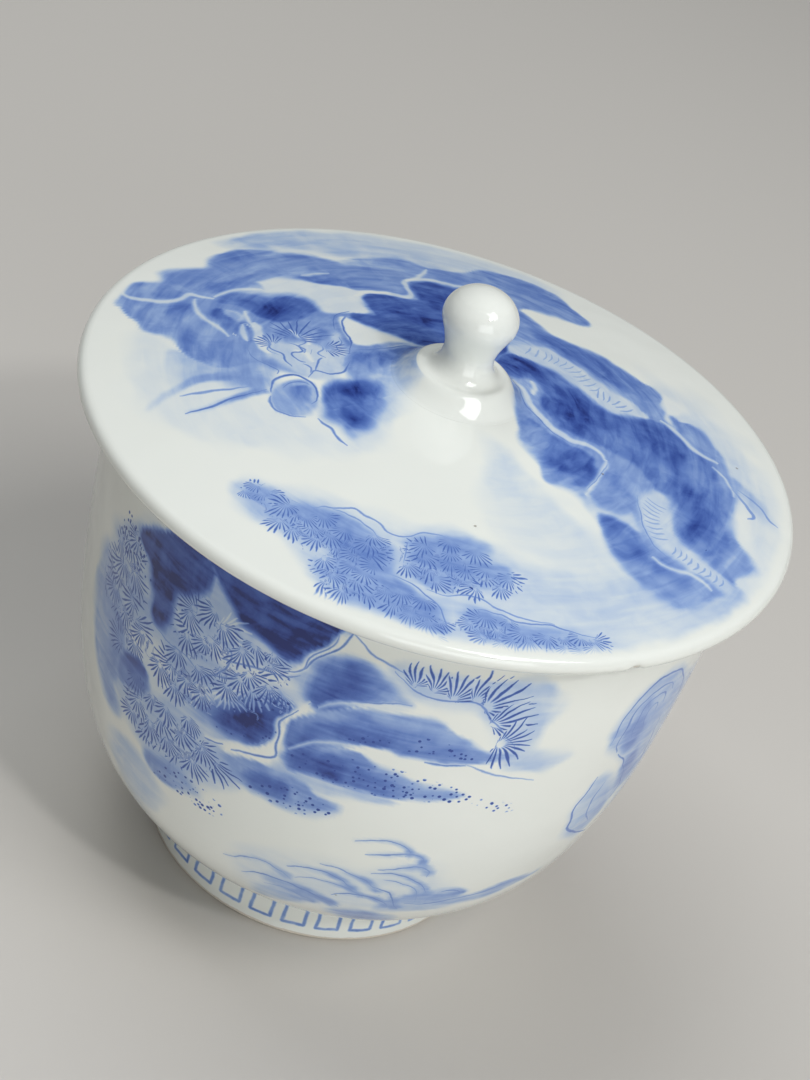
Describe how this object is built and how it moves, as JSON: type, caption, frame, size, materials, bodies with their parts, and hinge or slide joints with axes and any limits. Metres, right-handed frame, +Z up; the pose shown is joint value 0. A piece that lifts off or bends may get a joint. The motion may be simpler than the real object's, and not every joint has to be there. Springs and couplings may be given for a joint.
{
  "type": "lidded tea bowl",
  "caption": "Lidded porcelain tea bowl (gaiwan): deep bowl on a foot ring, overhanging domed lid with a locating ring and a ball knob, blue and white painting.",
  "frame": {"origin": "centre of the circle the foot ring rests on, on the ground plane", "axes": "+Z up along the axis of turning, from the foot to the knob; +X and +Y are in the ground plane, with -Y towards the side of the painting that faces the viewer"},
  "size_m": [0.11, 0.11, 0.1077],
  "materials": {
    "painted_glaze": "clear glaze over cobalt blue brushwork on white porcelain",
    "plain_glaze": "clear glaze over plain white porcelain",
    "foot_glaze": "clear glaze over a cobalt blue band, with a bare unglazed resting edge"
  },
  "bodies": {
    "cup": {"bowl": "painted_glaze", "foot_ring": "foot_glaze"},
    "lid_carrier": {"locating_ring": "plain_glaze"},
    "lid": {"lid": "painted_glaze", "knob": "plain_glaze"}
  },
  "joints": [
    {"name": "lid_lift", "type": "slide", "parent": "cup", "child": "lid_carrier", "axis": [0, 0, 1], "range_m": [0, 0.06]},
    {"name": "lid_turn", "type": "hinge", "parent": "lid_carrier", "child": "lid", "pos_m": [0, 0, 0.083], "axis": [0, 0, 1], "continuous": true}
  ]
}
